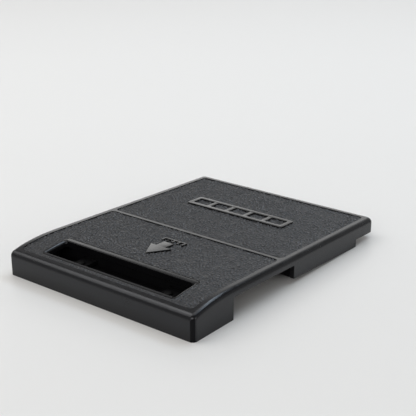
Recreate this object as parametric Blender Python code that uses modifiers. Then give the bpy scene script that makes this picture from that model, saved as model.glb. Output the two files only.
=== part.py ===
"""Moulded carrier cover: a hollow black plate with two inlaid grain panels, a finger slot over a
sprung sliding latch, and a sprung plate that presses film flat between the two side openings.

The plate rests on z = 0 with its front edge at -Y. Sizes are in millimetres, and distances called
"along" run from the front edge to the back. Meshes are built in metres.
"""

import math

import bmesh
import bpy
from mathutils import Matrix

MM = 0.001

# Plan
WIDTH = 87.5
DEPTH = 1.31 * WIDTH
HALF = WIDTH / 2
FRONT_CORNER = 1.8
BACK_CORNER = 2.6

# Top face: a straight fall to the back, and a nose that drops towards the front edge
CREST = 12.14
FALL = 0.0334
NOSE = 0.3 * WIDTH
NOSE_DROP = 3.06
NOSE_POWER = 2.8
STATIONS = 9

# Walls
SIDE_WALL = 1.8
SKIN = 2.3
TOP_FILLET = 1.6
GAP = 0.3
THROUGH = 1.0

# Places along the cover
BLOCK_END = 0.24 * WIDTH
BLOCK_WALL = 1.6
NOTCH_END = 0.653 * WIDTH
SKIRT_END = 1.153 * WIDTH
SKIRT_RISE = 2.0
SKIRT_FOOT = 2.0
LIP = 3.06
REAR_EDGE = 6.45

# Inlaid panels
RIM = 2.9
POCKET = 1.1
PANEL_LOW = -0.8
PANEL_HIGH = -0.15
PANEL_CORNER = 1.4
DIVIDER = 0.61 * WIDTH
DIVIDER_WIDTH = 1.5
MARK_LOW = -0.6
MARK_HIGH = 0.2

# Finger slot and its bezel
SLOT_HALF = 30.45
SLOT_FRONT = 5.95
SLOT_BACK = 16.6
SLOT_CORNER = 0.9
BEZEL_FRONT = 1.0
BEZEL_SIDE = 1.2
BEZEL_REAR = 2.3
BEZEL_CORNER = 1.6
BEZEL_LOW = -2.5

# Retainer plate under the front block, and its screws
RETAINER_LOW = 0.3
RETAINER_HIGH = 1.6
BOSS_X = 37.6
BOSSES_ALONG = (6.0, 16.2)
BOSS_RADIUS = 2.0
SCREW_RADIUS = 0.85
SCREW_HEAD = 1.8
SCREW_TOP = 6.2

# Latch
SLIDER_LOW = 1.9
SLIDER_HIGH = 3.9
SLIDER_HALF = 30.2
SLIDER_FRONT = 8.0
SLIDER_BACK = 18.6
LUG_OUT = 35.0
LUG_BACK = 13.0
LUG_HIGH = 6.1
RIB_THICK = 1.4
RIB_HIGH = 7.2
RIB_HALF = 25.0
GRIP_THICK = 0.8
GRIP_RIDGES = 4
NOSE_X = 21.0
NOSE_HALF = 3.0
NOSE_FRONT = 12.0
NOSE_TIP = 23.8
NOSE_LOW = 4.2
NOSE_HIGH = 5.4
RIVET_ALONG = 14.4
RIVET_RADIUS = 0.8
RIVET_HEAD = 1.5

# Latch springs and their guide pins
PIN_X = 32.7
PIN_Z = 4.0
PIN_RADIUS = 0.7
PIN_START = 1.0
PIN_END = 14.4
COIL_RADIUS = 1.3
COIL_WIRE = 0.4
COIL_TURNS = 5
COIL_POINTS = 12

# Pressure plate, its guide pins and leaf springs
PLATE_HALF = 31.0
PLATE_FRONT = 26.0
PLATE_BACK = 53.0
PLATE_LOW = 3.2
PLATE_HIGH = 4.4
GUIDE_X = 26.0
GUIDES_ALONG = (30.0, 49.0)
GUIDE_RADIUS = 0.9
GUIDE_TOP = 7.0
TUBE_RADIUS = 2.2
TUBE_LOW = 5.7
LEAVES_ALONG = (35.5, 43.5)
LEAF_HALF = 21.0
LEAF_WIDTH = 5.0
LEAF_THICK = 0.3
LEAF_LOW = 4.7
LEAF_RISE = 2.6
STUB_RADIUS = 1.6

# Rear hooks and the light seal
HOOK_X = 22.0
HOOK_WIDTH = 10.0
HOOK_SHEET = 0.8
HOOK_FRONT = 103.5
HOOK_LOW = 2.6
HOOK_HIGH = 5.75
HOOK_FOOT = 4.0
HOOK_RIVET_ALONG = 105.8
WALL_ALONG = 58.2
WALL_THICK = 1.5
WALL_LOW = 3.0
SEAL_LOW = 2.0
RIBS_X = (-34.0, -12.0, 12.0, 34.0)
RIB_DEPTH = 1.2

BLACK_PLASTIC = ("black_plastic", (0.020, 0.021, 0.023), 0.38, 0.0)
GRAIN_PLASTIC = ("grain_plastic", (0.024, 0.025, 0.027), 0.55, 0.0)
DARK_STEEL = ("dark_steel", (0.055, 0.055, 0.058), 0.42, 0.9)
BRIGHT_STEEL = ("bright_steel", (0.45, 0.45, 0.46), 0.30, 1.0)
BLACK_RUBBER = ("black_rubber", (0.018, 0.018, 0.018), 0.80, 0.0)
BLACK_FELT = ("black_felt", (0.012, 0.012, 0.013), 0.95, 0.0)


def row(along):
    """The Y of a distance from the front edge."""
    return along - DEPTH / 2


def crown(y):
    """Height of the rim's top face at Y."""
    along = y + DEPTH / 2
    nose = max(0.0, 1 - along / NOSE)
    return CREST - FALL * along - NOSE_DROP * nose**NOSE_POWER


def clear_scene():
    for obj in list(bpy.data.objects):
        bpy.data.objects.remove(obj)


def collection(name):
    found = bpy.data.collections.new(name)
    bpy.context.scene.collection.children.link(found)
    return found


def material(spec):
    name, colour, roughness, metallic = spec
    found = bpy.data.materials.get(name)
    if found:
        return found
    made = bpy.data.materials.new(name)
    made.use_nodes = True
    shader = made.node_tree.nodes["Principled BSDF"]
    shader.inputs["Base Color"].default_value = (*colour, 1)
    shader.inputs["Roughness"].default_value = roughness
    shader.inputs["Metallic"].default_value = metallic
    return made


def keep(obj, spec):
    """Links an object: with a material it is a piece of the cover, without one it is a tool."""
    if spec is None:
        tools.objects.link(obj)
        obj.hide_render = True
        obj.display_type = "WIRE"
        return obj
    parts.objects.link(obj)
    obj.data.materials.append(material(spec))
    return obj


def made(name, bm, spec=None):
    """An object from a mesh drawn in millimetres."""
    bmesh.ops.scale(bm, vec=(MM, MM, MM), verts=bm.verts)
    mesh = bpy.data.meshes.new(name)
    bm.to_mesh(mesh)
    bm.free()
    return keep(bpy.data.objects.new(name, mesh), spec)


def plain_box(x, y, z):
    bm = bmesh.new()
    size = [high - low for low, high in (x, y, z)]
    centre = [(high + low) / 2 for low, high in (x, y, z)]
    placed = Matrix.Translation(centre) @ Matrix.Diagonal((*size, 1))
    bmesh.ops.create_cube(bm, size=1, matrix=placed)
    return bm


def bevel(bm, edges, radius, segments):
    bmesh.ops.bevel(
        bm, geom=edges, offset=radius, segments=segments, profile=0.5, affect="EDGES"
    )


def round_uprights(bm, front, back):
    """Rounds a box's vertical edges, those at the front and those at the back."""
    middle = sum(v.co.y for v in bm.verts) / len(bm.verts)
    upright = [e for e in bm.edges if (e.verts[0].co - e.verts[1].co).xy.length < 1e-6]
    fronts = [e for e in upright if e.verts[0].co.y < middle]
    backs = [e for e in upright if e.verts[0].co.y > middle]
    for edges, radius in ((fronts, front), (backs, back)):
        if radius:
            bevel(bm, edges, radius, 4)


def round_top(bm, radius, segments=3):
    top = max(v.co.z for v in bm.verts)
    bevel(bm, [e for e in bm.edges if min(v.co.z for v in e.verts) > top - 1e-6], radius, segments)


def drape(bm, datum=None):
    """Bends a flat shape to the crown: its heights are offsets from the top face. Points more than
    half the datum below it stand that far above the table instead."""
    for step in range(STATIONS + 1):
        station = row(NOSE * step / STATIONS)
        whole = bm.verts[:] + bm.edges[:] + bm.faces[:]
        bmesh.ops.bisect_plane(bm, geom=whole, plane_co=(0, station, 0), plane_no=(0, 1, 0))
    for v in bm.verts:
        if datum and v.co.z < -datum / 2:
            v.co.z += datum
        else:
            v.co.z += crown(v.co.y)


def standing(name, x, along, low, under, spec=None, corners=(0, 0), fillet=0):
    """A block from a height above the table up to an offset from the top face."""
    datum = 100
    bm = plain_box(x, [row(a) for a in along], (low - datum, under))
    round_uprights(bm, *corners)
    if fillet:
        round_top(bm, fillet)
    drape(bm, datum)
    return made(name, bm, spec)


def skin(name, x, along, offsets, spec=None, corner=0, fillet=0):
    """A sheet that follows the top face, between two offsets from it."""
    bm = plain_box(x, [row(a) for a in along], offsets)
    round_uprights(bm, corner, corner)
    if fillet:
        round_top(bm, fillet, 2)
    drape(bm)
    return made(name, bm, spec)


def box(name, x, along, z, spec=None, edge=0.0):
    bm = plain_box(x, [row(a) for a in along], z)
    if edge:
        bevel(bm, bm.edges[:], edge, 1)
    return made(name, bm, spec)


def cylinder(name, x, along, z, radius):
    """An upright cylinder, used as a tool."""
    bm = bmesh.new()
    centre = Matrix.Translation((x, row(along), sum(z) / 2))
    bmesh.ops.create_cone(
        bm,
        cap_ends=True,
        segments=20,
        radius1=radius,
        radius2=radius,
        depth=z[1] - z[0],
        matrix=centre,
    )
    return made(name, bm)


def turned(name, profile, spec, place, lying=False):
    """A turned piece about its own Z from (radius, height) points, top to bottom."""
    mesh = bpy.data.meshes.new(name)
    points = [(r * MM, 0, h * MM) for r, h in profile]
    mesh.from_pydata(points, [(i, i + 1) for i in range(len(points) - 1)], [])
    obj = keep(bpy.data.objects.new(name, mesh), spec)
    obj.location = [c * MM for c in place]
    if lying:
        obj.rotation_euler = (-math.pi / 2, 0, 0)
    spin = obj.modifiers.new("turn", "SCREW")
    spin.steps = spin.render_steps = 16
    spin.use_merge_vertices = True
    spin.merge_threshold = 1e-6
    spin.use_smooth_shade = True
    return obj


def outline(name, points, spec=None):
    """A filled 2D curve with straight sides, from points in millimetres."""
    curve = bpy.data.curves.new(name, "CURVE")
    curve.dimensions = "2D"
    curve.fill_mode = "BOTH"
    spline = curve.splines.new("POLY")
    spline.points.add(len(points) - 1)
    for point, (u, v) in zip(spline.points, points):
        point.co = (u * MM, v * MM, 0, 1)
    spline.use_cyclic_u = True
    return keep(bpy.data.objects.new(name, curve), spec)


def welded(flat):
    """The mesh of a filled curve, with its caps welded to its sides."""
    bpy.context.view_layer.update()
    ready = flat.evaluated_get(bpy.context.evaluated_depsgraph_get())
    bm = bmesh.new()
    bm.from_mesh(bpy.data.meshes.new_from_object(ready))
    bmesh.ops.remove_doubles(bm, verts=bm.verts, dist=1e-6)
    return bm


def combine(target, tool, operation):
    step = target.modifiers.new(tool.name, "BOOLEAN")
    step.operation = operation
    step.solver = "EXACT"
    step.object = tool


def cut(target, *cutters):
    for cutter in cutters:
        combine(target, cutter, "DIFFERENCE")


def join(target, *others):
    for other in others:
        combine(target, other, "UNION")


def sides():
    return (("left", -1), ("right", 1))


def span(centre, half):
    return (centre - half, centre + half)


def slot_hole(name):
    """The hole for the bezel, through the panel and the shell."""
    return standing(
        name,
        span(0, SLOT_HALF + BEZEL_SIDE + GAP),
        (SLOT_FRONT - BEZEL_FRONT - GAP, SLOT_BACK + BEZEL_REAR + GAP),
        RIB_HIGH,
        2 * THROUGH,
        corners=(BEZEL_CORNER + GAP, BEZEL_CORNER + GAP),
    )


def shell_hollows():
    """The front cavity, the rear hollow, the side openings and the step under the rear edge."""
    inside = HALF - SIDE_WALL
    across = span(0, HALF + THROUGH)
    front = (SIDE_WALL, BLOCK_END - BLOCK_WALL)
    rear = (BLOCK_END, DEPTH - SIDE_WALL)
    return (
        standing("front_cavity", span(0, inside), front, -THROUGH, -SKIN),
        standing("rear_hollow", span(0, inside), rear, -THROUGH, -SKIN, corners=(0, 1.2)),
        standing("side_openings", across, (BLOCK_END, NOTCH_END), -THROUGH, -LIP),
        skirt_slope(across),
        standing("rear_step", across, (SKIRT_END, DEPTH + THROUGH), -THROUGH, -REAR_EDGE),
    )


def skirt_slope(across):
    """Lifts the skirt's underside towards the side openings, so that only its rear foot rests."""
    bm = plain_box(across, (row(NOTCH_END), row(SKIRT_END)), (-3 * THROUGH, 0))
    pitch = SKIRT_RISE / (SKIRT_END - SKIRT_FOOT - NOTCH_END)
    for v in bm.verts:
        if v.co.z > -THROUGH:
            v.co.z = SKIRT_RISE if v.co.y < 0.5 * row(SKIRT_END) else -pitch * SKIRT_FOOT
    return made("skirt_slope", bm)


def panel_pockets():
    across = span(0, HALF - RIM)
    front = (RIM, DIVIDER - DIVIDER_WIDTH / 2)
    rear = (DIVIDER + DIVIDER_WIDTH / 2, DEPTH - RIM)
    return [
        skin(f"{name}_pocket", across, along, (-POCKET, THROUGH), corner=PANEL_CORNER + GAP)
        for name, along in (("front", front), ("rear", rear))
    ]


def screw_places():
    return [(side * BOSS_X, along) for along in BOSSES_ALONG for _, side in sides()]


def guide_places():
    return [(side * GUIDE_X, along) for along in GUIDES_ALONG for _, side in sides()]


def shell_bosses(shell):
    """Screw bosses, guide tubes and spring stubs hang from the ceiling, and a light wall crosses it."""
    for n, (x, along) in enumerate(screw_places(), 1):
        height = (RETAINER_HIGH + GAP, crown(row(along)) - SKIN + 2 * GAP)
        join(shell, cylinder(f"boss_{n}", x, along, height, BOSS_RADIUS))
        cut(shell, cylinder(f"pilot_{n}", x, along, (0, SCREW_TOP + GAP), SCREW_RADIUS + GAP))
    for n, (x, along) in enumerate(guide_places(), 1):
        ceiling = crown(row(along)) - SKIN
        join(shell, cylinder(f"tube_{n}", x, along, (TUBE_LOW, ceiling + GAP), TUBE_RADIUS))
        cut(shell, cylinder(f"bore_{n}", x, along, (0, ceiling), GUIDE_RADIUS + GAP))
    for n, along in enumerate(LEAVES_ALONG, 1):
        ceiling = crown(row(along)) - SKIN
        stub_low = LEAF_LOW + LEAF_RISE + LEAF_THICK + GAP
        join(shell, cylinder(f"stub_{n}", 0, along, (stub_low, ceiling + GAP), STUB_RADIUS))
        cut(shell, cylinder(f"stub_hole_{n}", 0, along, (0, ceiling), RIVET_RADIUS + GAP))
    inside = span(0, HALF - SIDE_WALL + GAP)
    join(shell, standing("light_wall", inside, span(WALL_ALONG, WALL_THICK / 2), WALL_LOW, 0.2 - SKIN))
    length = (WALL_ALONG, DEPTH - SIDE_WALL / 2)
    for n, x in enumerate(RIBS_X, 1):
        join(shell, skin(f"rib_{n}", span(x, 0.5), length, (-SKIN - RIB_DEPTH, 0.2 - SKIN)))


def cover_shell():
    shell = standing(
        "cover_shell",
        span(0, HALF),
        (0, DEPTH),
        0,
        0,
        BLACK_PLASTIC,
        corners=(FRONT_CORNER, BACK_CORNER),
        fillet=TOP_FILLET,
    )
    cut(shell, *shell_hollows())
    shell_bosses(shell)
    cut(shell, *panel_pockets(), slot_hole("shell_slot"))
    window = (BLOCK_END - 2 * BLOCK_WALL, BLOCK_END + THROUGH)
    for name, side in sides():
        x = span(side * NOSE_X, NOSE_HALF + 2 * GAP)
        cut(shell, box(f"nose_window_{name}", x, window, (NOSE_LOW - GAP, NOSE_HIGH + GAP)))
        pin = turned(
            f"pin_hole_{name}",
            rod_profile(PIN_RADIUS + GAP, 2 * SIDE_WALL),
            None,
            (side * PIN_X, row(PIN_START - GAP), PIN_Z),
            lying=True,
        )
        cut(shell, pin)
        hook_hole = crown(row(HOOK_RIVET_ALONG)) - SKIN / 2 - GAP
        x, z = side * HOOK_X, (0, hook_hole)
        cut(shell, cylinder(f"hook_hole_{name}", x, HOOK_RIVET_ALONG, z, RIVET_RADIUS + GAP))


def rod_profile(radius, length, ease=0.0):
    """A rod from its own origin up to a length, with its far edge eased."""
    if not ease:
        return [(0, length), (radius, length), (radius, 0), (0, 0)]
    return [(0, length), (radius - ease, length), (radius, length - ease), (radius, 0), (0, 0)]


def direction_arrow():
    """Points at the slot, with a short row of ticks behind it."""
    centre = -1.3
    tip = 0.31 * WIDTH
    head = 0.405 * WIDTH
    tail = 0.458 * WIDTH
    head_half = 4.8
    tail_half = 2.2
    points = [
        (centre, tip),
        (centre + head_half, head),
        (centre + tail_half, head),
        (centre + tail_half, tail),
        (centre - tail_half, tail),
        (centre - tail_half, head),
        (centre - head_half, head),
    ]
    flat = outline("arrow_outline", [(x, row(a)) for x, a in points])
    flat.data.extrude = (MARK_HIGH - MARK_LOW) / 2 * MM
    bm = welded(flat)
    bpy.data.objects.remove(flat)
    bmesh.ops.scale(bm, vec=(1 / MM, 1 / MM, 1 / MM), verts=bm.verts)
    bmesh.ops.translate(bm, vec=(0, 0, (MARK_HIGH + MARK_LOW) / 2), verts=bm.verts)
    drape(bm)
    return made("arrow", bm)


def caption_ticks():
    start = 0.470 * WIDTH
    end = 0.500 * WIDTH
    left = -6.0
    stroke = 0.7
    pitch = 2.4
    ticks = 5
    marks = (MARK_LOW, MARK_HIGH)
    across = (left, left + (ticks - 1) * pitch + stroke)
    shapes = [skin("caption_bar", across, (end - stroke, end), marks)]
    for n in range(ticks):
        x = left + n * pitch
        shapes.append(skin(f"caption_tick_{n}", (x, x + stroke), (start, end - stroke / 2), marks))
    return shapes


def front_grain_panel():
    edge = RIM + GAP
    along = (edge, DIVIDER - DIVIDER_WIDTH / 2 - GAP)
    offsets = (PANEL_LOW, PANEL_HIGH)
    panel = skin(
        "front_grain_panel", span(0, HALF - edge), along, offsets, GRAIN_PLASTIC, corner=PANEL_CORNER
    )
    cut(panel, slot_hole("panel_slot"))
    join(panel, direction_arrow(), *caption_ticks())


def strip_emblem():
    """A plain strip of five frames, as a generic film mark."""
    left, right = -24.5, 22.5
    start, end = 0.92 * WIDTH, 1.02 * WIDTH
    stroke = 1.9
    frames = 5
    strip = skin("emblem", (left, right), (start, end), (MARK_LOW, MARK_HIGH), corner=0.8)
    window = (right - left - (frames + 1) * stroke) / frames
    for n in range(frames):
        x = left + stroke + n * (window + stroke)
        along = (start + stroke, end - stroke)
        cut(strip, skin(f"emblem_frame_{n}", (x, x + window), along, (PANEL_LOW, THROUGH)))
    return strip


def rear_grain_panel():
    edge = RIM + GAP
    along = (DIVIDER + DIVIDER_WIDTH / 2 + GAP, DEPTH - edge)
    offsets = (PANEL_LOW, PANEL_HIGH)
    panel = skin(
        "rear_grain_panel", span(0, HALF - edge), along, offsets, GRAIN_PLASTIC, corner=PANEL_CORNER
    )
    join(panel, strip_emblem())


def slot_bezel():
    bezel = skin(
        "slot_bezel",
        span(0, SLOT_HALF + BEZEL_SIDE),
        (SLOT_FRONT - BEZEL_FRONT, SLOT_BACK + BEZEL_REAR),
        (BEZEL_LOW, 0),
        BLACK_PLASTIC,
        corner=BEZEL_CORNER,
        fillet=0.2,
    )
    through = (BEZEL_LOW - THROUGH, THROUGH)
    along = (SLOT_FRONT, SLOT_BACK)
    cut(bezel, skin("bezel_hole", span(0, SLOT_HALF), along, through, corner=SLOT_CORNER))


def retainer_plate():
    across = span(0, HALF - SIDE_WALL - GAP)
    along = (SIDE_WALL + GAP, BLOCK_END - BLOCK_WALL - GAP)
    plate = box("retainer_plate", across, along, (RETAINER_LOW, RETAINER_HIGH), DARK_STEEL, edge=0.15)
    for n, (x, place) in enumerate(screw_places(), 1):
        cut(plate, cylinder(f"clear_{n}", x, place, (0, 2 * RETAINER_HIGH), SCREW_RADIUS + GAP))
        recess = (0, RETAINER_LOW + 0.8)
        cut(plate, cylinder(f"recess_{n}", x, place, recess, SCREW_HEAD + GAP))


def retainer_screws():
    low = RETAINER_LOW + 0.05
    head = 0.5
    profile = [
        (0, SCREW_TOP),
        (SCREW_RADIUS - 0.3, SCREW_TOP),
        (SCREW_RADIUS, SCREW_TOP - 0.5),
        (SCREW_RADIUS, low + head),
        (SCREW_HEAD, low + head),
        (SCREW_HEAD, low + 0.2),
        (SCREW_HEAD - 0.3, low),
        (0, low),
    ]
    for n, (x, along) in enumerate(screw_places(), 1):
        screw = turned(f"retainer_screw_{n}", profile, BRIGHT_STEEL, (x, row(along), 0))
        for arm, half in (("a", (1.1, 0.25)), ("b", (0.25, 1.1))):
            slot = box(
                f"drive_{n}{arm}", span(x, half[0]), span(along, half[1]), (low - THROUGH, low + 0.35)
            )
            cut(screw, slot)


def guide_pins():
    profile = rod_profile(PIN_RADIUS, PIN_END - PIN_START, ease=0.2)
    for name, side in sides():
        place = (side * PIN_X, row(PIN_START), PIN_Z)
        turned(f"latch_guide_pin_{name}", profile, BRIGHT_STEEL, place, lying=True)


def coil_points(start, end, x):
    """A closed-wound helix along Y, centred on a guide pin."""
    count = COIL_TURNS * COIL_POINTS
    for n in range(count + 1):
        angle = 2 * math.pi * n / COIL_POINTS
        along = start + (end - start) * n / count
        yield (x + COIL_RADIUS * math.cos(angle), row(along), PIN_Z + COIL_RADIUS * math.sin(angle))


def latch_springs():
    reach = COIL_WIRE / 2 + GAP
    for name, side in sides():
        curve = bpy.data.curves.new(f"latch_spring_{name}", "CURVE")
        curve.dimensions = "3D"
        curve.bevel_depth = COIL_WIRE / 2 * MM
        curve.bevel_resolution = 1
        curve.use_fill_caps = True
        points = list(coil_points(SIDE_WALL + reach, SLIDER_FRONT - reach, side * PIN_X))
        spline = curve.splines.new("POLY")
        spline.points.add(len(points) - 1)
        for point, place in zip(spline.points, points):
            point.co = (*[c * MM for c in place], 1)
        keep(bpy.data.objects.new(f"latch_spring_{name}", curve), BRIGHT_STEEL)


def latch_slider():
    slider = box(
        "latch_slider",
        span(0, SLIDER_HALF),
        (SLIDER_FRONT, SLIDER_BACK),
        (SLIDER_LOW, SLIDER_HIGH),
        BLACK_PLASTIC,
        edge=0.2,
    )
    rib = (SLIDER_FRONT + 0.3, SLIDER_FRONT + RIB_THICK)
    join(slider, box("slider_rib", span(0, RIB_HALF), rib, (SLIDER_HIGH - 0.5, RIB_HIGH), edge=0.2))
    for name, side in sides():
        x = sorted((side * (SLIDER_HALF - 2), side * LUG_OUT))
        lug = box(f"slider_lug_{name}", x, (SLIDER_FRONT, LUG_BACK), (SLIDER_LOW, LUG_HIGH), edge=0.3)
        join(slider, lug)
        bore = turned(
            f"slider_bore_{name}",
            rod_profile(PIN_RADIUS + GAP, PIN_END),
            None,
            (side * PIN_X, row(SLIDER_FRONT - THROUGH), PIN_Z),
            lying=True,
        )
        cut(slider, bore)
        x, z = side * NOSE_X, (SLIDER_LOW + GAP, 2 * SLIDER_HIGH)
        cut(slider, cylinder(f"slider_hole_{name}", x, RIVET_ALONG, z, RIVET_RADIUS + GAP))
    return slider


def finger_grip():
    """A ribbed pad on the rib's rear face, where the fingertip pulls."""
    start = SLIDER_FRONT + RIB_THICK + GAP
    low, high = SLIDER_HIGH + GAP, RIB_HIGH - 0.2
    across, along = span(0, RIB_HALF - 1), (start, start + GRIP_THICK)
    grip = box("finger_grip", across, along, (low, high), BLACK_RUBBER)
    for n in range(GRIP_RIDGES):
        z = low + (high - low) * (n + 0.5) / GRIP_RIDGES
        along = span(start + GRIP_THICK, 0.25)
        join(grip, box(f"grip_ridge_{n}", span(0, RIB_HALF - 2), along, span(z, 0.2)))
    return grip


def latch_noses():
    """Steel catches riveted on the slider. Each has a lead-in under its tip."""
    pieces = []
    for name, side in sides():
        x = span(side * NOSE_X, NOSE_HALF)
        nose = box(f"latch_nose_{name}", x, (NOSE_FRONT, NOSE_TIP), (NOSE_LOW, NOSE_HIGH), DARK_STEEL)
        cut(nose, nose_lead(f"nose_lead_{name}", side))
        cut(nose, cylinder(f"nose_hole_{name}", side * NOSE_X, RIVET_ALONG, (0, 9), RIVET_RADIUS + GAP))
        shank = (SLIDER_LOW + 2 * GAP, NOSE_HIGH + GAP)
        pieces += [nose, rivet(f"nose_rivet_{name}", side * NOSE_X, RIVET_ALONG, *shank)]
    return pieces


def nose_lead(name, side):
    """A block turned about X that takes the lower edge off a nose's tip."""
    bm = plain_box(span(0, NOSE_HALF + THROUGH), (0, 4), (-4, 0))
    turn = Matrix.Rotation(math.radians(35), 4, "X")
    place = Matrix.Translation((side * NOSE_X, row(NOSE_TIP - 1.6), NOSE_LOW))
    bmesh.ops.transform(bm, matrix=place @ turn, verts=bm.verts)
    return made(name, bm)


def rivet(name, x, along, low, high, head_up=True):
    """A rivet whose shank runs from low to high, with a domed head at one end."""
    dome = 0.55
    up = [
        (0, high + dome),
        (RIVET_HEAD * 0.6, high + dome * 0.85),
        (RIVET_HEAD, high + 0.2),
        (RIVET_HEAD, high),
        (RIVET_RADIUS, high),
        (RIVET_RADIUS, low),
        (0, low),
    ]
    down = [(r, low + high - h) for r, h in reversed(up)]
    return turned(name, up if head_up else down, BRIGHT_STEEL, (x, row(along), 0))


def pressure_plate():
    """The plate is polished underneath, with its film entry edges eased, and rides on four pins."""
    along, z = (PLATE_FRONT, PLATE_BACK), (PLATE_LOW, PLATE_HIGH)
    plate = box("pressure_plate", span(0, PLATE_HALF), along, z, DARK_STEEL, edge=0.3)
    pieces = [plate]
    for n, (x, along) in enumerate(guide_places(), 1):
        hole = (PLATE_LOW + GAP, 2 * PLATE_HIGH)
        cut(plate, cylinder(f"plate_hole_{n}", x, along, hole, GUIDE_RADIUS + GAP))
        low = PLATE_LOW + 2 * GAP
        profile = rod_profile(GUIDE_RADIUS, GUIDE_TOP - low, ease=0.25)
        pieces.append(turned(f"plate_guide_pin_{n}", profile, BRIGHT_STEEL, (x, row(along), low)))
    return pieces


def leaf_springs():
    """Bowed leaves: the middle is riveted to the cover and both ends press on the plate."""
    for name, along in zip(("front", "rear"), LEAVES_ALONG):
        bm = bmesh.new()
        bmesh.ops.create_grid(bm, x_segments=16, y_segments=1, size=1)
        for v in bm.verts:
            bow = math.cos(v.co.x * math.pi / 2) ** 2
            y = row(along) + v.co.y * LEAF_WIDTH / 2
            v.co = (v.co.x * LEAF_HALF, y, LEAF_LOW + LEAF_RISE * bow)
        leaf = made(f"plate_spring_{name}", bm, BRIGHT_STEEL)
        sheet = leaf.modifiers.new("sheet", "SOLIDIFY")
        sheet.thickness = LEAF_THICK * MM
        sheet.offset = 1
        hole = cylinder(f"leaf_hole_{name}", 0, along, (LEAF_LOW, 12), RIVET_RADIUS + GAP)
        cut(leaf, hole)
        low = LEAF_LOW + LEAF_RISE - GAP
        high = crown(row(along)) - SKIN - GAP
        rivet(f"plate_spring_rivet_{name}", 0, along, low, high, head_up=False)


def rear_hooks():
    """Bent steel hooks inside the back wall, each held to the ceiling by a rivet."""
    back = DEPTH - SIDE_WALL - GAP
    inner = back - HOOK_SHEET
    points = [
        (HOOK_FRONT, HOOK_HIGH),
        (HOOK_FRONT, HOOK_HIGH - HOOK_SHEET),
        (inner, HOOK_HIGH - HOOK_SHEET),
        (inner, HOOK_LOW + HOOK_SHEET),
        (back - HOOK_FOOT, HOOK_LOW + HOOK_SHEET),
        (back - HOOK_FOOT, HOOK_LOW),
        (back, HOOK_LOW),
        (back, HOOK_HIGH),
    ]
    for name, side in sides():
        flat = outline(f"hook_outline_{name}", [(row(a), z) for a, z in points])
        flat.data.extrude = HOOK_WIDTH / 2 * MM
        flat.rotation_euler = (math.pi / 2, 0, math.pi / 2)
        flat.location.x = side * HOOK_X * MM
        mesh = bpy.data.meshes.new(f"rear_hook_{name}")
        welded(flat).to_mesh(mesh)
        hook = keep(bpy.data.objects.new(mesh.name, mesh), DARK_STEEL)
        hook.matrix_world = flat.matrix_world
        bpy.data.objects.remove(flat)
        x = side * HOOK_X
        cut(hook, cylinder(f"hook_clear_{name}", x, HOOK_RIVET_ALONG, (4, 7), RIVET_RADIUS + GAP))
        low = HOOK_HIGH - HOOK_SHEET - GAP
        high = crown(row(HOOK_RIVET_ALONG)) - SKIN / 2 - 2 * GAP
        rivet(f"rear_hook_rivet_{name}", x, HOOK_RIVET_ALONG, low, high, head_up=False)


def light_seal():
    across = span(0, HALF - SIDE_WALL - GAP)
    z = (SEAL_LOW, WALL_LOW - GAP)
    box("light_seal", across, span(WALL_ALONG, WALL_THICK / 2), z, BLACK_FELT)


def moving(name, place, pieces):
    """An empty on the joint's axis that carries the pieces of one moving body."""
    pivot = bpy.data.objects.new(name, None)
    pivot.location = [c * MM for c in place]
    parts.objects.link(pivot)
    bpy.context.view_layer.update()
    for piece in pieces:
        piece.parent = pivot
        piece.matrix_parent_inverse = pivot.matrix_world.inverted()


def smooth_round_pieces():
    for obj in parts.objects:
        if obj.type == "MESH":
            obj.data.shade_smooth()
            obj.data.set_sharp_from_angle(angle=math.radians(35))


clear_scene()
parts = collection("carrier_cover")
tools = collection("cutters")
cover_shell()
front_grain_panel()
rear_grain_panel()
slot_bezel()
retainer_plate()
retainer_screws()
guide_pins()
latch_springs()
leaf_springs()
rear_hooks()
light_seal()
moving("latch_slide", (0, row(SLIDER_FRONT), PIN_Z), [latch_slider(), finger_grip(), *latch_noses()])
moving("plate_press", (0, row((PLATE_FRONT + PLATE_BACK) / 2), PLATE_LOW), pressure_plate())
smooth_round_pieces()
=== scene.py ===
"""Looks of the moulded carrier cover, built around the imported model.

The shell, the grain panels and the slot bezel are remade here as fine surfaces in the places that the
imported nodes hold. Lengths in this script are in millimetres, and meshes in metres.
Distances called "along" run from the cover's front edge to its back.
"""

import math

import bmesh
import bpy
import numpy as np
from mathutils import Matrix, Vector


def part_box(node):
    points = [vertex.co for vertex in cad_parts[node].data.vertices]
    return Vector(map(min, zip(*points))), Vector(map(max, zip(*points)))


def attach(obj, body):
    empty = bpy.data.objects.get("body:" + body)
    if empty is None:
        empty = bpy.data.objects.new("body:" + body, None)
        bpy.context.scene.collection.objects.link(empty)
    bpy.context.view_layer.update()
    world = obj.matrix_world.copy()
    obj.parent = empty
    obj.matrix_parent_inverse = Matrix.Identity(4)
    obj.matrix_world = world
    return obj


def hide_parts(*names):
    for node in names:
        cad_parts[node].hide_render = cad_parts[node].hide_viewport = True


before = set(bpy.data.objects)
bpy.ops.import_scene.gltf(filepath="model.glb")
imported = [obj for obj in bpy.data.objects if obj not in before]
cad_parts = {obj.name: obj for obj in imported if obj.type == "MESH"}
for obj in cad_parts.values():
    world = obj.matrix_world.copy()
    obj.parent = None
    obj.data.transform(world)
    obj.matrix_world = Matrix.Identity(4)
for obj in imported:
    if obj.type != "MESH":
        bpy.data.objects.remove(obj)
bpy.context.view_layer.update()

MM = 0.001


def node_box(name):
    """The lowest and highest corner of a CAD node, in millimetres."""
    low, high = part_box(name)
    return low / MM, high / MM


SHELL_LOW, SHELL_HIGH = node_box("cover_shell")
WIDTH = SHELL_HIGH.x - SHELL_LOW.x
DEPTH = SHELL_HIGH.y - SHELL_LOW.y
HALF = WIDTH / 2

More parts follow.
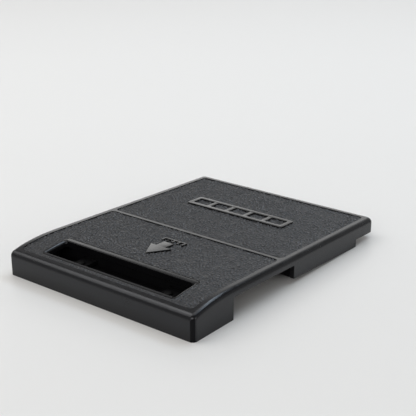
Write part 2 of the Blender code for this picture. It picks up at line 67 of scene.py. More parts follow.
# The top face, as part.py draws it
CREST = 12.14
FALL = 0.0334
NOSE = 0.3 * WIDTH
NOSE_DROP = 3.06
NOSE_POWER = 2.8

SIDE_WALL = 1.8
SKIN = 2.3
GAP = 0.3
BLOCK_END = 0.24 * WIDTH
BLOCK_WALL = 1.6
NOTCH_END = 0.653 * WIDTH
SKIRT_END = 1.153 * WIDTH
SKIRT_RISE = 2.0
SKIRT_FOOT = 2.0
LIP = 3.06
REAR_EDGE = 5.8
WALL_HALF = 0.75
WALL_LOW = 3.0
RIM = 3.2
POCKET = 1.1
PANEL_LOW = -0.8
PANEL_HIGH = -0.15
PANEL_CORNER = 1.4
MARK_LOW = -0.6
MARK_HIGH = 0.2
DIVIDER = 0.602 * WIDTH
DIVIDER_WIDTH = 1.5
SLOT_HALF = 30.45
SLOT_FRONT = 5.95
SLOT_BACK = 16.6
SLOT_CORNER = 0.9
BEZEL = 1.0
BEZEL_SIDE = 1.2
BEZEL_REAR = 2.3
BEZEL_LOW = -2.5
BEZEL_HIGH = -0.2
SEAM = 0.07
LIP_ROUND = 1.1
BEZEL_CORNER = 1.6
THROUGH = 1.0


def row(along):
    """The Y of a distance from the front edge."""
    return along - DEPTH / 2


def crown(y):
    """Height of the rim's top face at Y, for a number or an array."""
    along = np.asarray(y) + DEPTH / 2
    nose = np.clip(1 - along / NOSE, 0, None)
    return CREST - FALL * along - NOSE_DROP * nose**NOSE_POWER


def span(centre, half):
    return (centre - half, centre + half)


# ---------------------------------------------------------------- materials


class Nodes:
    """A small helper that adds and links shader nodes."""

    def __init__(self, name):
        self.material = bpy.data.materials.new(name)
        self.material.use_nodes = True
        self.tree = self.material.node_tree
        self.shader = self.tree.nodes["Principled BSDF"]

    def add(self, kind, **values):
        node = self.tree.nodes.new(kind)
        for key, value in values.items():
            setattr(node, key, value)
        return node

    def link(self, source, target):
        self.tree.links.new(source, target)

    def position(self):
        """Object coordinates, in metres."""
        return self.add("ShaderNodeTexCoord").outputs["Object"]

    def noise(self, size_mm, detail=3.0, rough=0.55):
        """Noise whose features are about size_mm across."""
        node = self.add("ShaderNodeTexNoise")
        node.inputs["Scale"].default_value = 1 / (size_mm * MM)
        node.inputs["Detail"].default_value = detail
        node.inputs["Roughness"].default_value = rough
        self.link(self.position(), node.inputs["Vector"])
        return node.outputs["Fac"]

    def between(self, fac, low, high, start=0.3, end=0.7):
        """A number that runs from low to high as fac runs from start to end."""
        node = self.add("ShaderNodeMapRange")
        node.clamp = True
        for socket, value in zip(("From Min", "From Max", "To Min", "To Max"), (start, end, low, high)):
            node.inputs[socket].default_value = value
        self.link(fac, node.inputs["Value"])
        return node.outputs["Result"]

    def blend(self, fac, a, b):
        """A colour that runs from a to b."""
        node = self.add("ShaderNodeMix", data_type="RGBA")
        for socket, colour in ((6, a), (7, b)):
            if isinstance(colour, tuple):
                node.inputs[socket].default_value = (*colour, 1)
            else:
                self.link(colour, node.inputs[socket])
        self.link(fac, node.inputs[0])
        return node.outputs[2]

    def math(self, operation, a, b):
        node = self.add("ShaderNodeMath", operation=operation)
        for socket, value in zip(node.inputs, (a, b)):
            if isinstance(value, (int, float)):
                socket.default_value = value
            else:
                self.link(value, socket)
        return node.outputs[0]

    def bump(self, height, depth_mm, strength=1.0):
        node = self.add("ShaderNodeBump")
        node.inputs["Strength"].default_value = strength
        node.inputs["Distance"].default_value = depth_mm * MM
        self.link(height, node.inputs["Height"])
        self.link(node.outputs["Normal"], self.shader.inputs["Normal"])

    def fixed(self, **values):
        """Constant shader inputs, by their socket names with underscores."""
        for key, value in values.items():
            self.shader.inputs[key.replace("_", " ")].default_value = value


# A bluish tint on the plastics' reflections: painted bluish light.
BLUE_REFLECTION_TINT = (0.93, 0.95, 1, 1)


def moulded(name, dark, light, rough, shine=0.5, sparkle_mm=0.12, depth_mm=0.006):
    """Black moulded plastic: a spark-eroded micro texture, faint flow tone and scuffed sheen."""
    n = Nodes(name)
    tone = n.between(n.noise(14, 4), 0, 1)
    n.link(n.blend(tone, dark, light), n.shader.inputs["Base Color"])
    n.link(n.between(n.noise(5, 6), rough - 0.05, rough + 0.07), n.shader.inputs["Roughness"])
    n.bump(n.noise(sparkle_mm, 2), depth_mm)
    n.fixed(IOR=1.47, Specular_IOR_Level=shine, Specular_Tint=BLUE_REFLECTION_TINT)
    return n.material


def grained(name, dark, light, rough):
    """Grain panel plastic: valleys are duller than the polished pebble tops, and darker as painted shade
    in the creases.
    """
    n = Nodes(name)
    height = n.add("ShaderNodeAttribute", attribute_name="grain_height").outputs["Fac"]
    # Painted shade: the colour darkens from the pebble tops into the creases.
    top = n.between(height, 0, 1, 0.25, 0.85)
    n.link(n.blend(top, dark, light), n.shader.inputs["Base Color"])
    worn = n.between(n.noise(9, 4), -0.04, 0.05)
    polish = n.between(height, rough + 0.16, rough, 0.2, 0.9)
    n.link(n.math("ADD", polish, worn), n.shader.inputs["Roughness"])
    fine = n.math("MULTIPLY", n.noise(0.16, 3), 0.2)
    n.bump(n.math("ADD", fine, n.noise(0.6, 2)), 0.055)
    n.fixed(IOR=1.53, Specular_Tint=BLUE_REFLECTION_TINT)
    return n.material


def metal(name, colour, rough, brushed_mm=0.08):
    """Sheet or turned steel with fine directional brushing and darker stains."""
    n = Nodes(name)
    stain = n.between(n.noise(3, 5), 0, 1)
    worn = tuple(c * 0.72 for c in colour)
    n.link(n.blend(stain, colour, worn), n.shader.inputs["Base Color"])
    n.link(n.between(n.noise(1.5, 4), rough - 0.06, rough + 0.1), n.shader.inputs["Roughness"])
    n.bump(n.noise(brushed_mm, 2), 0.004)
    n.fixed(Metallic=1.0)
    return n.material


def coated(name, colour, rough, metallic=0.6, shine=0.5):
    """Blackened steel: thin oxide over metal, rubbed lighter in patches."""
    n = Nodes(name)
    rubbed = n.between(n.noise(2.2, 6), 0, 1, 0.55, 0.75)
    bare = tuple(min(1, c * 2.6) for c in colour)
    n.link(n.blend(rubbed, colour, bare), n.shader.inputs["Base Color"])
    n.link(n.between(n.noise(1.0, 4), rough - 0.05, rough + 0.12), n.shader.inputs["Roughness"])
    n.bump(n.noise(0.1, 2), 0.004)
    n.fixed(Metallic=metallic, Specular_IOR_Level=shine)
    return n.material


def soft_stuff(name, colour, rough, grain_mm, depth_mm, sheen):
    n = Nodes(name)
    tone = n.between(n.noise(grain_mm * 3, 4), 0, 1)
    n.link(n.blend(tone, colour, tuple(c * 1.6 for c in colour)), n.shader.inputs["Base Color"])
    n.link(n.between(n.noise(grain_mm * 5, 3), rough - 0.06, rough), n.shader.inputs["Roughness"])
    n.bump(n.noise(grain_mm, 4), depth_mm)
    n.fixed(Sheen_Weight=sheen, Specular_IOR_Level=0.12)
    return n.material


SHELL_TONES = ((0.0040, 0.0040, 0.0046), (0.0055, 0.0055, 0.0062))
BEZEL_TONES = ((0.0036, 0.0036, 0.0042), (0.0050, 0.0050, 0.0056))
SHELL_PLASTIC = moulded("shell_plastic", *SHELL_TONES, rough=0.21, shine=0.47)
# A duller copy of the shell plastic for the hollow side: painted shade in the recesses.
SHADED_HOLLOW_PLASTIC = moulded("hollow_painted_shade", *SHELL_TONES, rough=0.60, shine=0.12)
# A duller copy of the shell plastic for the upright front corners: painted shade, a dark band down each
# corner.
SHADED_CORNER_PLASTIC = moulded("corner_painted_shade", *SHELL_TONES, rough=0.30, shine=0.10)
BEZEL_PLASTIC = moulded("bezel_plastic", *BEZEL_TONES, rough=0.26, shine=0.16)
# A glossier copy of the bezel plastic for the slot's rounded ends: a painted highlight.
BEZEL_HIGHLIGHT_PLASTIC = moulded("bezel_painted_highlight", *BEZEL_TONES, rough=0.22, shine=0.5)
MARK_PLASTIC = moulded("mark_plastic", (0.0060, 0.0058, 0.0056), (0.0085, 0.0082, 0.0080), 0.20, 0.40)
LATCH_PLASTIC = moulded("latch_plastic", (0.0016, 0.0016, 0.0018), (0.0022, 0.0022, 0.0026), 0.60, 0.10)
GRAIN_PLASTIC = grained("grain_plastic", (0.0030, 0.0031, 0.0036), (0.0065, 0.0066, 0.0074), 0.28)
BRIGHT_STEEL = metal("bright_steel", (0.50, 0.50, 0.51), 0.28)
SPRING_STEEL = metal("spring_steel", (0.38, 0.38, 0.40), 0.32)
DARK_STEEL = coated("dark_steel", (0.030, 0.030, 0.033), 0.38)
RUBBER = soft_stuff("black_rubber", (0.012, 0.012, 0.012), 0.85, 0.25, 0.02, 0.0)
FELT = soft_stuff("black_felt", (0.004, 0.004, 0.0045), 0.98, 0.12, 0.08, 0.05)


# ---------------------------------------------------------------- mesh tools


tools = bpy.data.collections.new("cutters")
bpy.context.scene.collection.children.link(tools)


def plain_box(x, y, z):
    bm = bmesh.new()
    size = [high - low for low, high in (x, y, z)]
    centre = [(high + low) / 2 for low, high in (x, y, z)]
    placed = Matrix.Translation(centre) @ Matrix.Diagonal((*size, 1))
    bmesh.ops.create_cube(bm, size=1, matrix=placed)
    return bm


def bevel(bm, edges, radius, segments):
    bmesh.ops.bevel(bm, geom=edges, offset=radius, segments=segments, profile=0.5, affect="EDGES")


def round_uprights(bm, front, back, segments=8):
    middle = sum(v.co.y for v in bm.verts) / len(bm.verts)
    upright = [e for e in bm.edges if (e.verts[0].co - e.verts[1].co).xy.length < 1e-6]
    fronts = [e for e in upright if e.verts[0].co.y < middle]
    backs = [e for e in upright if e.verts[0].co.y > middle]
    for edges, radius in ((fronts, front), (backs, back)):
        if radius:
            bevel(bm, edges, radius, segments)


def round_top(bm, radius, segments):
    top = max(v.co.z for v in bm.verts)
    bevel(bm, [e for e in bm.edges if min(v.co.z for v in e.verts) > top - 1e-6], radius, segments)


def drape(bm, datum=None, stations=26):
    """Bends a flat shape to the crown. Points more than half the datum below it stand that far above
    the table instead."""
    beyond = np.arange(NOSE, DEPTH, 8.0)[1:]
    for along in (*np.linspace(0, NOSE, stations + 1), *beyond):
        station = row(float(along))
        whole = bm.verts[:] + bm.edges[:] + bm.faces[:]
        bmesh.ops.bisect_plane(bm, geom=whole, plane_co=(0, station, 0), plane_no=(0, 1, 0))
    for v in bm.verts:
        if datum and v.co.z < -datum / 2:
            v.co.z += datum
        else:
            v.co.z += float(crown(v.co.y))


def made(name, bm, tool=False):
    bmesh.ops.scale(bm, vec=(MM, MM, MM), verts=bm.verts)
    mesh = bpy.data.meshes.new(name)
    bm.to_mesh(mesh)
    bm.free()
    obj = bpy.data.objects.new(name, mesh)
    home = tools if tool else bpy.context.scene.collection
    home.objects.link(obj)
    if tool:
        obj.hide_render = True
        obj.hide_viewport = False
    return obj


def standing(name, x, along, low, under, corners=(0, 0), fillet=0, tool=True):
    """A block from a height above the table up to an offset from the top face."""
    datum = 100
    bm = plain_box(x, [row(a) for a in along], (low - datum, under))
    round_uprights(bm, *corners)
    if fillet:
        round_top(bm, fillet, 6)
    drape(bm, datum)
    return made(name, bm, tool)


def skin(name, x, along, offsets, corner=0, fillet=0, tool=True, corner_steps=8):
    """A sheet that follows the top face, between two offsets from it."""
    bm = plain_box(x, [row(a) for a in along], offsets)
    round_uprights(bm, corner, corner, corner_steps)
    if fillet:
        round_top(bm, fillet, 3)
    drape(bm)
    return made(name, bm, tool)


def box(name, x, along, z, tool=True):
    return made(name, plain_box(x, [row(a) for a in along], z), tool)


def cylinder(name, x, along, z, radius):
    bm = bmesh.new()
    centre = Matrix.Translation((x, row(along), sum(z) / 2))
    bmesh.ops.create_cone(
        bm, cap_ends=True, segments=40, radius1=radius, radius2=radius, depth=z[1] - z[0], matrix=centre
    )
    return made(name, bm, tool=True)


def combine(target, other, operation):
    step = target.modifiers.new(other.name, "BOOLEAN")
    step.operation = operation
    step.solver = "EXACT"
    step.object = other


def cut(target, *others):
    for other in others:
        combine(target, other, "DIFFERENCE")


def join(target, *others):
    for other in others:
        combine(target, other, "UNION")


def settle(obj):
    """Applies an object's modifiers to its mesh."""
    bpy.context.view_layer.update()
    ready = obj.evaluated_get(bpy.context.evaluated_depsgraph_get())
    mesh = bpy.data.meshes.new_from_object(ready)
    obj.modifiers.clear()
    obj.data = mesh


def ease_edges(obj, width, segments=3, angle=30):
    """Rounds every sharp edge, as a mould's do."""
    step = obj.modifiers.new("ease", "BEVEL")
    step.width = width * MM
    step.segments = segments
    step.limit_method = "ANGLE"
    step.angle_limit = math.radians(angle)
    step.use_clamp_overlap = True
    step.harden_normals = False
    settle(obj)


def smooth(obj, angle=32):
    obj.data.shade_smooth()
    obj.data.set_sharp_from_angle(angle=math.radians(angle))


def finished(obj, surface, body="cover", replaces=()):
    obj.data.materials.clear()
    obj.data.materials.append(surface)
    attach(obj, body)
    if replaces:
        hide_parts(*replaces)
    return obj


NEAR = 0.05
CORNER_SIDEWAYS = 0.62
CORNER_FORWARD = 0.78
CORNER_LIMIT = 0.88
SLOT_END_UP = 0.05
SLOT_END_SIDEWAYS = 0.25


def patch(obj, surface, chosen):
    """Gives some faces of a piece a second material."""
    obj.data.materials.append(surface)
    slot = len(obj.data.materials) - 1
    for face in obj.data.polygons:
        if chosen(face):
            face.material_index = slot


# ---------------------------------------------------------------- shell


def middle_of(node):
    low, high = node_box(node)
    return (low + high) / 2


def shell_hollows():
    inside = HALF - SIDE_WALL
    across = span(0, HALF + THROUGH)
    front = (SIDE_WALL, BLOCK_END - BLOCK_WALL)
    rear = (BLOCK_END, DEPTH - SIDE_WALL)
    return (
        standing("front_cavity", span(0, inside), front, -THROUGH, -SKIN, corners=(0.6, 0.6)),
        standing("rear_cavity", span(0, inside), rear, -THROUGH, -SKIN, corners=(0, 1.2)),
        standing("side_openings", across, (BLOCK_END, NOTCH_END), -THROUGH, -LIP),
        skirt_slope(across),
        standing("rear_step", across, (SKIRT_END, DEPTH + THROUGH), -THROUGH, -REAR_EDGE),
    )


def skirt_slope(across):
    """Lifts the skirt's underside towards the side openings, so that only its rear foot rests."""
    bm = plain_box(across, (row(NOTCH_END - THROUGH), row(SKIRT_END)), (-3 * THROUGH, 0))
    pitch = SKIRT_RISE / (SKIRT_END - SKIRT_FOOT - NOTCH_END)
    for v in bm.verts:
        if v.co.z > -THROUGH:
            v.co.z = pitch * (row(SKIRT_END - SKIRT_FOOT) - v.co.y)
    return made("skirt_slope", bm, tool=True)


def panel_pockets():
    front = (RIM, DIVIDER - DIVIDER_WIDTH / 2)
    rear = (DIVIDER + DIVIDER_WIDTH / 2, DEPTH - RIM)
    return [
        skin(f"{name}_pocket", span(0, HALF - RIM), along, (-POCKET, THROUGH), corner=PANEL_CORNER + GAP)
        for name, along in (("front", front), ("rear", rear))
    ]


def hang(shell, name, node, low, radius, hole, hole_top):
    """A boss that hangs from the ceiling over a CAD node, with a blind hole."""
    centre = middle_of(node)
    along = centre.y + DEPTH / 2
    ceiling = float(crown(centre.y)) - SKIN
    join(shell, cylinder(f"{name}_boss", centre.x, along, (low, ceiling + 2 * GAP), radius))
    cut(shell, cylinder(f"{name}_hole", centre.x, along, (0, hole_top), hole))


def inner_features(shell):
    for n in range(1, 5):
        hang(shell, f"screw_{n}", f"retainer_screw_{n}", 1.9, 2.0, 1.15, 6.5)
    for n in range(1, 5):
        top = float(crown(middle_of(f"plate_guide_pin_{n}").y)) - SKIN
        hang(shell, f"guide_{n}", f"plate_guide_pin_{n}", 5.7, 2.2, 1.2, top)
    for name in ("front", "rear"):
        node = f"plate_spring_rivet_{name}"
        hang(shell, f"stub_{name}", node, 7.9, 1.6, 1.1, float(crown(middle_of(node).y)) - SKIN)
    inside = span(0, HALF - SIDE_WALL + GAP)
    wall_along = middle_of("light_seal").y + DEPTH / 2
    join(shell, standing("light_wall", inside, span(wall_along, WALL_HALF), WALL_LOW, 0.2 - SKIN))
    for n, x in enumerate((-34.0, -12.0, 12.0, 34.0)):
        length = (wall_along, DEPTH - SIDE_WALL / 2)
        join(shell, skin(f"rib_{n}", span(x, 0.5), length, (-SKIN - 1.2, 0.2 - SKIN)))
    for name in ("left", "right"):
        nose = middle_of(f"latch_nose_{name}")
        window = (BLOCK_END - 2 * BLOCK_WALL, BLOCK_END + THROUGH)
        cut(shell, box(f"window_{name}", span(nose.x, 3.6), window, (3.9, 5.7)))


def moulded_shell():
    shell = standing(
        "moulded_shell",
        span(0, HALF),
        (0, DEPTH),
        0,
        0,
        corners=(1.8, 2.6),
        fillet=1.9,
        tool=False,
    )
    slot = standing(
        "shell_slot",
        span(0, SLOT_HALF + BEZEL_SIDE + GAP),
        (SLOT_FRONT - BEZEL - GAP, SLOT_BACK + BEZEL_REAR + GAP),
        7.2,
        2 * THROUGH,
        corners=(BEZEL_CORNER, BEZEL_CORNER),
    )
    cut(shell, *shell_hollows())
    inner_features(shell)
    cut(shell, *panel_pockets(), slot)
    settle(shell)
    ease_edges(shell, 0.22, 3)
    smooth(shell)
    even = shell.modifiers.new("even", "WEIGHTED_NORMAL")
    even.keep_sharp = True
    settle(shell)
    finished(shell, SHELL_PLASTIC, replaces=["cover_shell"])
    patch(shell, SHADED_HOLLOW_PLASTIC, in_hollow)
    patch(shell, SHADED_CORNER_PLASTIC, on_shaded_front_corner)


def in_hollow(face):
    """The hollow side, which gets a duller copy of the shell plastic as painted shade in the recesses.
    """
    x, y, z = face.center / MM
    within = abs(x) < HALF - SIDE_WALL + NEAR and abs(y) < DEPTH / 2 - SIDE_WALL + NEAR
    return within and z < crown(y) - POCKET - NEAR


def on_shaded_front_corner(face):
    """The upright front corners, which get a duller copy of the shell plastic: painted shade, a dark
    band down each corner.
    """
    facing = CORNER_SIDEWAYS * abs(face.normal.x) - CORNER_FORWARD * face.normal.y
    return facing > CORNER_LIMIT and not in_hollow(face)


moulded_shell()


# ---------------------------------------------------------------- grain panels

GRAIN_PITCH = 1.25
GRAIN_DEPTH = 0.5
GRID_STEP = 0.25


def pebbles(x, y, seed):
    """Leather grain height, 0 in the creases to about 1, from the two nearest scattered points."""
    rng = np.random.RandomState(seed)
    columns = int(WIDTH / GRAIN_PITCH) + 8
    rows = int(DEPTH / GRAIN_PITCH) + 8
    jitter = rng.uniform(-0.42, 0.42, (rows, columns, 2))
    lift = rng.uniform(0.35, 1.0, (rows, columns))
    across = (x + HALF) / GRAIN_PITCH + 3
    upward = (y + DEPTH / 2) / GRAIN_PITCH + 3
    cell_x, cell_y = np.floor(across).astype(int), np.floor(upward).astype(int)
    nearest = np.full(x.shape, 9.0)
    second = np.full(x.shape, 9.0)
    rise = np.zeros(x.shape)
    for dy in (-1, 0, 1):
        for dx in (-1, 0, 1):
            i, j = cell_y + dy, cell_x + dx
            px = j + 0.5 + jitter[i, j, 0] + 0.5 * (i % 2)
            py = i + 0.5 + jitter[i, j, 1]
            far = np.hypot(across - px, upward - py)
            closer = far < nearest
            second = np.where(closer, nearest, np.minimum(second, far))
            rise = np.where(closer, lift[i, j], rise)
            nearest = np.where(closer, far, nearest)
    crease = np.clip((second - nearest) / 0.5, 0, 1)
    dome = np.clip(1 - (nearest / 0.8) ** 2, 0, 1)
    return rise * (0.4 + 0.6 * dome) * crease**2 * (3 - 2 * crease)


def lines(low, high, *through):
    """Grid lines about GRID_STEP apart that meet each place in through."""
    stops = sorted({low, high, *through})
    pieces = []
    for a, b in zip(stops, stops[1:]):
        count = max(2, round((b - a) / GRID_STEP))
        pieces.append(np.linspace(a, b, count + 1)[:-1])
    return np.concatenate([*pieces, [high]])


def rounded_rows(x, y, half, low, high, corner):
    """Pulls each row of a grid in, so that its outline has round corners."""
    edge = np.minimum(y - low, high - y)
    inset = np.clip(corner - edge, 0, corner)
    reach = half - corner + np.sqrt(corner**2 - inset**2)
    return x * (reach / half)


def round_hole(x, y, hole):
    """Moves the corner points of a square hole's edge onto round corners."""
    half, low, high, corner = hole
    for sx in (-1, 1):
        for centre_y, sy in ((low + corner, -1), (high - corner, 1)):
            u = sx * x - (half - corner)
            v = sy * (y - centre_y)
            on_edge = (np.maximum(u, v) > corner - 1e-6) & (np.maximum(u, v) < corner + 1e-6)
            there = on_edge & (u > 0) & (v > 0)
            length = np.hypot(u, v)
            scale = np.where(there, corner / np.maximum(length, 1e-9), 1)
            x = np.where(there, sx * (half - corner + u * scale), x)
            y = np.where(there, centre_y + sy * v * scale, y)
    return x, y


def grain_panel(name, node, seed, hole=None):
    """A closed slab whose top is a fine grid of leather grain."""
    low, high = node_box(node)
    spread = GAP - SEAM
    low, high = low - Vector((spread, spread, 0)), high + Vector((spread, spread, 0))
    half = high.x
    x_stops, y_stops = [], []
    if hole:
        x_stops = [-hole[0], -hole[0] + hole[3], hole[0] - hole[3], hole[0]]
        y_stops = [hole[1], hole[1] + hole[3], hole[2] - hole[3], hole[2]]
    xs = lines(-half, half, *x_stops)
    ys = lines(low.y, high.y, *y_stops)
    x, y = np.meshgrid(xs, ys)
    inside = np.zeros((len(ys) - 1, len(xs) - 1), bool)
    if hole:
        in_x = (xs[:-1] > -hole[0] - 1e-6) & (xs[1:] < hole[0] + 1e-6)
        in_y = (ys[:-1] > hole[1] - 1e-6) & (ys[1:] < hole[2] + 1e-6)
        inside = in_y[:, None] & in_x[None, :]
        x, y = round_hole(x, y, hole)
    x = rounded_rows(x, y, half, low.y, high.y, PANEL_CORNER)
    height = pebbles(x, y, seed)
    rim_ease = np.minimum(np.minimum(half - np.abs(x), y - low.y), high.y - y)
    if hole:
        beside = np.maximum(np.maximum(np.abs(x) - hole[0], hole[1] - y), y - hole[2])
        rim_ease = np.minimum(rim_ease, np.maximum(beside, 0))
    fade = np.clip(rim_ease / 0.3, 0, 1)
    relief = GRAIN_DEPTH * (0.5 + (height - 0.5) * fade - 0.7)
    top = crown(y) + PANEL_HIGH + relief
    return slab_mesh(name, x, y, top, crown(y) + PANEL_LOW, inside, height)


def slab_mesh(name, x, y, top, bottom, empty, height):
    """Top quads, side walls and one flat strip a row underneath, welded into a closed mesh."""
    rows, columns = x.shape
    count = rows * columns
    places = np.concatenate(
        [np.stack([x, y, top], -1).reshape(-1, 3), np.stack([x, y, bottom], -1).reshape(-1, 3)]
    )
    index = np.arange(count).reshape(rows, columns)
    quads = np.stack([index[:-1, :-1], index[:-1, 1:], index[1:, 1:], index[1:, :-1]], -1)
    kept = quads[~empty]
    faces = kept.tolist()
    solid = np.pad(~empty, 1)
    for i, j in zip(*np.nonzero(~empty)):
        a, b, c, d = (int(v) for v in quads[i, j])
        if not solid[i, j + 1]:
            faces.append((b, a, a + count, b + count))
        if not solid[i + 2, j + 1]:
            faces.append((d, c, c + count, d + count))
        if not solid[i + 1, j]:
            faces.append((a, d, d + count, a + count))
        if not solid[i + 1, j + 2]:
            faces.append((c, b, b + count, c + count))
    faces += underside(index + count, ~empty)
    mesh = bpy.data.meshes.new(name)
    mesh.from_pydata((places * MM).tolist(), [], faces)
    tone = mesh.attributes.new("grain_height", "FLOAT", "POINT")
    tone.data.foreach_set("value", np.tile(height.reshape(-1), 2).astype(np.float32))
    bm = bmesh.new()
    bm.from_mesh(mesh)
    loose = [v for v in bm.verts if not v.link_faces]
    bmesh.ops.delete(bm, geom=loose, context="VERTS")
    bm.to_mesh(mesh)
    bm.free()
    mesh.shade_smooth()
    mesh.set_sharp_from_angle(angle=math.radians(60))
    obj = bpy.data.objects.new(name, mesh)
    bpy.context.scene.collection.objects.link(obj)
    return obj


def underside(index, solid):
    """One polygon for each run of solid cells in a row. Points inside a run are kept only where the
    row next to it is open, so that every edge is shared by two faces."""
    rows, columns = solid.shape
    faces = []
    for i in range(rows):
        starts = [j for j in range(columns) if solid[i, j] and (j == 0 or not solid[i, j - 1])]
        for j in starts:
            end = j
            while end < columns and solid[i, end]:
                end += 1
            near = points_between(index, solid, i, i - 1, i, j, end)
            far = points_between(index, solid, i, i + 1, i + 1, j, end)
            faces.append(near[::1] + far[::-1])
    return [tuple(reversed(f)) for f in faces]


def points_between(index, solid, i, neighbour, line, j, end):
    """The points along one side of a run: its ends, and those that another face's corner needs."""
    rows, columns = solid.shape
    kept = []
    for k in range(j, end + 1):
        at_end = k in (j, end)
        beside = [
            0 <= neighbour < rows and 0 <= c < columns and bool(solid[neighbour, c]) for c in (k - 1, k)
        ]
        if at_end or not all(beside):
            kept.append(int(index[line, k]))
    return kept


def slot_cut():
    half = SLOT_HALF + BEZEL_SIDE + SEAM
    return (half, row(SLOT_FRONT - BEZEL - SEAM), row(SLOT_BACK + BEZEL_REAR + 0.45), BEZEL_CORNER)


front_panel = grain_panel("front_grain", "front_grain_panel", 11, slot_cut())
finished(front_panel, GRAIN_PLASTIC, replaces=["front_grain_panel"])
rear_panel = grain_panel("rear_grain", "rear_grain_panel", 12)
finished(rear_panel, GRAIN_PLASTIC, replaces=["rear_grain_panel"])


# ---------------------------------------------------------------- raised marks


def prism(name, points, low, high):
    """A raised flat shape on the panel from its outline, with eased top edges."""
    bm = bmesh.new()
    corners = [bm.verts.new((x, row(along), low)) for x, along in points]
    face = bm.faces.new(corners)
    face.normal_update()
    if face.normal.z > 0:
        face.normal_flip()
    lifted = bmesh.ops.extrude_face_region(bm, geom=[face])
    top = [v for v in lifted["geom"] if isinstance(v, bmesh.types.BMVert)]
    bmesh.ops.translate(bm, vec=(0, 0, high - low), verts=top)
    bmesh.ops.recalc_face_normals(bm, faces=bm.faces)
    round_top(bm, 0.12, 3)
    drape(bm)
    return made(name, bm)


def direction_arrow():
    centre = 0.4
    tip, head, tail = 0.297 * WIDTH, 0.392 * WIDTH, 0.445 * WIDTH
    points = [
        (centre, tip),
        (centre + 4.8, head),
        (centre + 2.2, head),
        (centre + 2.2, tail),
        (centre - 2.2, tail),
        (centre - 2.2, head),
        (centre - 4.8, head),
    ]
    arrow = prism("direction_arrow", points, MARK_LOW, MARK_HIGH)
    smooth(arrow)
    finished(arrow, MARK_PLASTIC)


def caption_ticks():
    start, end = 0.457 * WIDTH, 0.487 * WIDTH
    left, stroke, pitch, ticks = -4.3, 0.7, 2.4, 5
    right = left + (ticks - 1) * pitch + stroke
    marks = (MARK_LOW, MARK_HIGH)
    comb = skin("caption_ticks", (left, right), (end - stroke, end), marks, tool=False)
    for n in range(ticks):
        x = left + n * pitch
        join(comb, skin(f"tick_{n}", (x, x + stroke), (start, end - stroke / 2), marks))
    settle(comb)
    ease_edges(comb, 0.1, 2)
    smooth(comb)
    finished(comb, MARK_PLASTIC)


def strip_emblem():
    """A plain strip of five film frames."""
    left, right = -24.5, 22.5
    start, end = 0.91 * WIDTH, 1.015 * WIDTH
    stroke, frames = 1.9, 5
    strip = skin(
        "strip_emblem", (left, right), (start, end), (MARK_LOW, MARK_HIGH), corner=0.8, tool=False
    )
    window = (right - left - (frames + 1) * stroke) / frames
    for n in range(frames):
        x = left + stroke + n * (window + stroke)
        along = (start + stroke, end - stroke)
        hole = skin(f"strip_frame_{n}", (x, x + window), along, (PANEL_LOW, THROUGH), corner=0.5)
        cut(strip, hole)
    settle(strip)
    ease_edges(strip, 0.12, 3)
    smooth(strip)
    finished(strip, MARK_PLASTIC)


direction_arrow()
caption_ticks()
strip_emblem()


# ---------------------------------------------------------------- bezel


def round_lip(bezel):
    """Rounds the opening's short ends generously, where a finger goes in."""
    bm = bmesh.new()
    bm.from_mesh(bezel.data)
    ends = []
    for edge in bm.edges:
        (x1, y1, z1), (x2, y2, z2) = (v.co / MM for v in edge.verts)
        top = min(z1 - crown(y1), z2 - crown(y2)) > BEZEL_HIGH - 0.02
        within = max(abs(x1), abs(x2)) < SLOT_HALF + 0.01 and all(
            row(SLOT_FRONT) - 0.01 < y < row(SLOT_BACK) + 0.01 for y in (y1, y2)
        )
        at_end = min(abs(x1), abs(x2)) > SLOT_HALF - SLOT_CORNER + 0.2
        if top and within and at_end and edge.calc_face_angle(0) > math.radians(50):
            ends.append(edge)
    bmesh.ops.bevel(bm, geom=ends, offset=LIP_ROUND * MM, segments=6, profile=0.5, affect="EDGES")
    bm.to_mesh(bezel.data)
    bm.free()


def slot_frame():
    bezel = skin(
        "slot_frame",
        span(0, SLOT_HALF + BEZEL_SIDE),
        (SLOT_FRONT - BEZEL, SLOT_BACK + BEZEL_REAR),
        (BEZEL_LOW, BEZEL_HIGH),
        corner=BEZEL_CORNER,
        tool=False,
    )
    through = (BEZEL_LOW - THROUGH, THROUGH)
    along = (SLOT_FRONT, SLOT_BACK)
    cut(bezel, skin("frame_hole", span(0, SLOT_HALF), along, through, corner=SLOT_CORNER))
    settle(bezel)
    round_lip(bezel)
    ease_edges(bezel, 0.2, 3, angle=50)
    smooth(bezel)
    finished(bezel, BEZEL_PLASTIC, replaces=["slot_bezel"])
    patch(bezel, BEZEL_HIGHLIGHT_PLASTIC, on_slot_end_highlight)


def on_slot_end_highlight(face):
    """The rounded ends of the slot, which get a glossier copy of the bezel plastic as a painted
    highlight.
    """
    return face.normal.z > SLOT_END_UP and abs(face.normal.x) > SLOT_END_SIDEWAYS


slot_frame()


# ---------------------------------------------------------------- CAD nodes that stay


def dress(node, surface):
    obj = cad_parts[node]
    obj.data.materials.clear()
    obj.data.materials.append(surface)
    smooth(obj, 40)


for node in ("retainer_plate", "pressure_plate", "latch_nose_left", "latch_nose_right"):
    dress(node, DARK_STEEL)
for node in ("rear_hook_left", "rear_hook_right"):
    dress(node, DARK_STEEL)
for node in ("latch_slider",):
    dress(node, LATCH_PLASTIC)
dress("finger_grip", RUBBER)
dress("light_seal", FELT)
BLACK_STEEL = coated("black_steel", (0.003, 0.003, 0.0035), 0.6, 0.0, 0.15)
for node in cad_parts:
    if "rivet" in node or "pin" in node or "screw" in node:
        dress(node, BRIGHT_STEEL)
    if "spring_" in node and "rivet" not in node:
        dress(node, SPRING_STEEL)
    if "nose" in node or "latch_guide" in node:
        dress(node, BLACK_STEEL)


# ---------------------------------------------------------------- stage

WALL_LIGHT = 1.28
ROOM_LIGHT = 0.4
OFF_WALL = 0.3


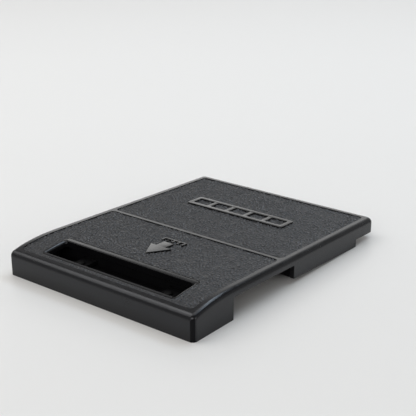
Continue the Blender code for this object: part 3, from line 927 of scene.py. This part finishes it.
def table_surface():
    n = Nodes("pale_table")
    n.fixed(Base_Color=(0.785, 0.78, 0.77, 1), Roughness=0.25, Specular_IOR_Level=0.15)
    return n.material


def floor():
    bm = bmesh.new()
    bmesh.ops.create_grid(bm, x_segments=8, y_segments=8, size=3.0)
    mesh = bpy.data.meshes.new("floor")
    bm.to_mesh(mesh)
    bm.free()
    mesh.materials.append(table_surface())
    obj = bpy.data.objects.new("floor", mesh)
    bpy.context.scene.collection.objects.link(obj)


def area_light(name, place, target, size, power, colour=(1, 1, 1)):
    lamp = bpy.data.lights.new(name, "AREA")
    lamp.shape = "RECTANGLE"
    lamp.size, lamp.size_y = size
    lamp.energy = power
    lamp.color = colour
    obj = bpy.data.objects.new(name, lamp)
    bpy.context.scene.collection.objects.link(obj)
    obj.location = place
    obj.rotation_euler = (Vector(target) - Vector(place)).to_track_quat("-Z", "Y").to_euler()


def sky():
    """A bright wall low down behind the object, a darker room above and towards the camera."""
    world = bpy.data.worlds.new("studio")
    bpy.context.scene.world = world
    world.use_nodes = True
    tree = world.node_tree

    def add(kind, **sockets):
        node = tree.nodes.new(kind)
        for key, value in sockets.items():
            node.inputs[key.replace("_", " ")].default_value = value
        return node

    way = tree.nodes.new("ShaderNodeTexCoord").outputs["Generated"]
    parts = tree.nodes.new("ShaderNodeSeparateXYZ")
    tree.links.new(way, parts.inputs[0])
    wall = add("ShaderNodeMapRange", From_Min=0.30, From_Max=0.62, To_Min=WALL_LIGHT, To_Max=ROOM_LIGHT)
    wall.interpolation_type = "SMOOTHSTEP"
    tree.links.new(parts.outputs["Z"], wall.inputs["Value"])
    dot = tree.nodes.new("ShaderNodeVectorMath")
    dot.operation = "DOT_PRODUCT"
    dot.inputs[1].default_value = (-0.62, 0.78, 0)
    tree.links.new(way, dot.inputs[0])
    side = add("ShaderNodeMapRange", From_Min=0.4, From_Max=0.85, To_Min=OFF_WALL, To_Max=1.0)
    side.interpolation_type = "SMOOTHSTEP"
    tree.links.new(dot.outputs["Value"], side.inputs["Value"])
    level = tree.nodes.new("ShaderNodeMath")
    level.operation = "MULTIPLY"
    tree.links.new(wall.outputs["Result"], level.inputs[0])
    tree.links.new(side.outputs["Result"], level.inputs[1])
    back = tree.nodes["Background"]
    back.inputs["Color"].default_value = (1.0, 0.995, 0.985, 1)
    tree.links.new(level.outputs[0], back.inputs["Strength"])


def camera():
    """The photograph's view: 38.5 degrees round to the right, 20.5 degrees down."""
    yaw, pitch, roll = math.radians(-38.499), math.radians(20.49), math.radians(0.26)
    place = Vector((2.4948, -3.0759, 1.6985)) * WIDTH * MM
    ahead = Vector((math.cos(pitch) * math.sin(yaw), math.cos(pitch) * math.cos(yaw), -math.sin(pitch)))
    right = Vector((math.cos(yaw), -math.sin(yaw), 0))
    up = right.cross(ahead)
    turned = Matrix.Rotation(roll, 3, ahead)
    right, up = turned @ right, turned @ up
    data = bpy.data.cameras.new("camera")
    data.sensor_width = 36
    data.lens = 84.2
    data.clip_start = 0.01
    obj = bpy.data.objects.new("camera", data)
    bpy.context.scene.collection.objects.link(obj)
    spin = Matrix((right, up, -ahead)).transposed()
    obj.matrix_world = Matrix.Translation(place) @ spin.to_4x4()
    bpy.context.scene.camera = obj


floor()
sky()
area_light("key_softbox", (-0.62, -0.34, 0.80), (0, 0, 0), (0.7, 0.7), 3.0, (1.0, 0.99, 0.975))
area_light("top_softbox", (-0.15, 0.1, 1.1), (0, 0, 0), (1.2, 0.9), 4.4, (1.0, 0.985, 0.965))
area_light("front_fill", (0.30, -0.88, 0.50), (0, 0, 0), (0.9, 0.4), 3.2, (1.0, 0.985, 0.965))
area_light("side_fill", (0.85, 0.0, 0.30), (0, 0, 0), (0.6, 0.3), 0.8, (1.0, 0.985, 0.965))
area_light("window", (0.13, 0.56, 0.86), (0, 0, 0), (0.8, 0.22), 2.6, (0.74, 0.87, 1.0))
camera()
bpy.context.scene.view_settings.view_transform = "Standard"
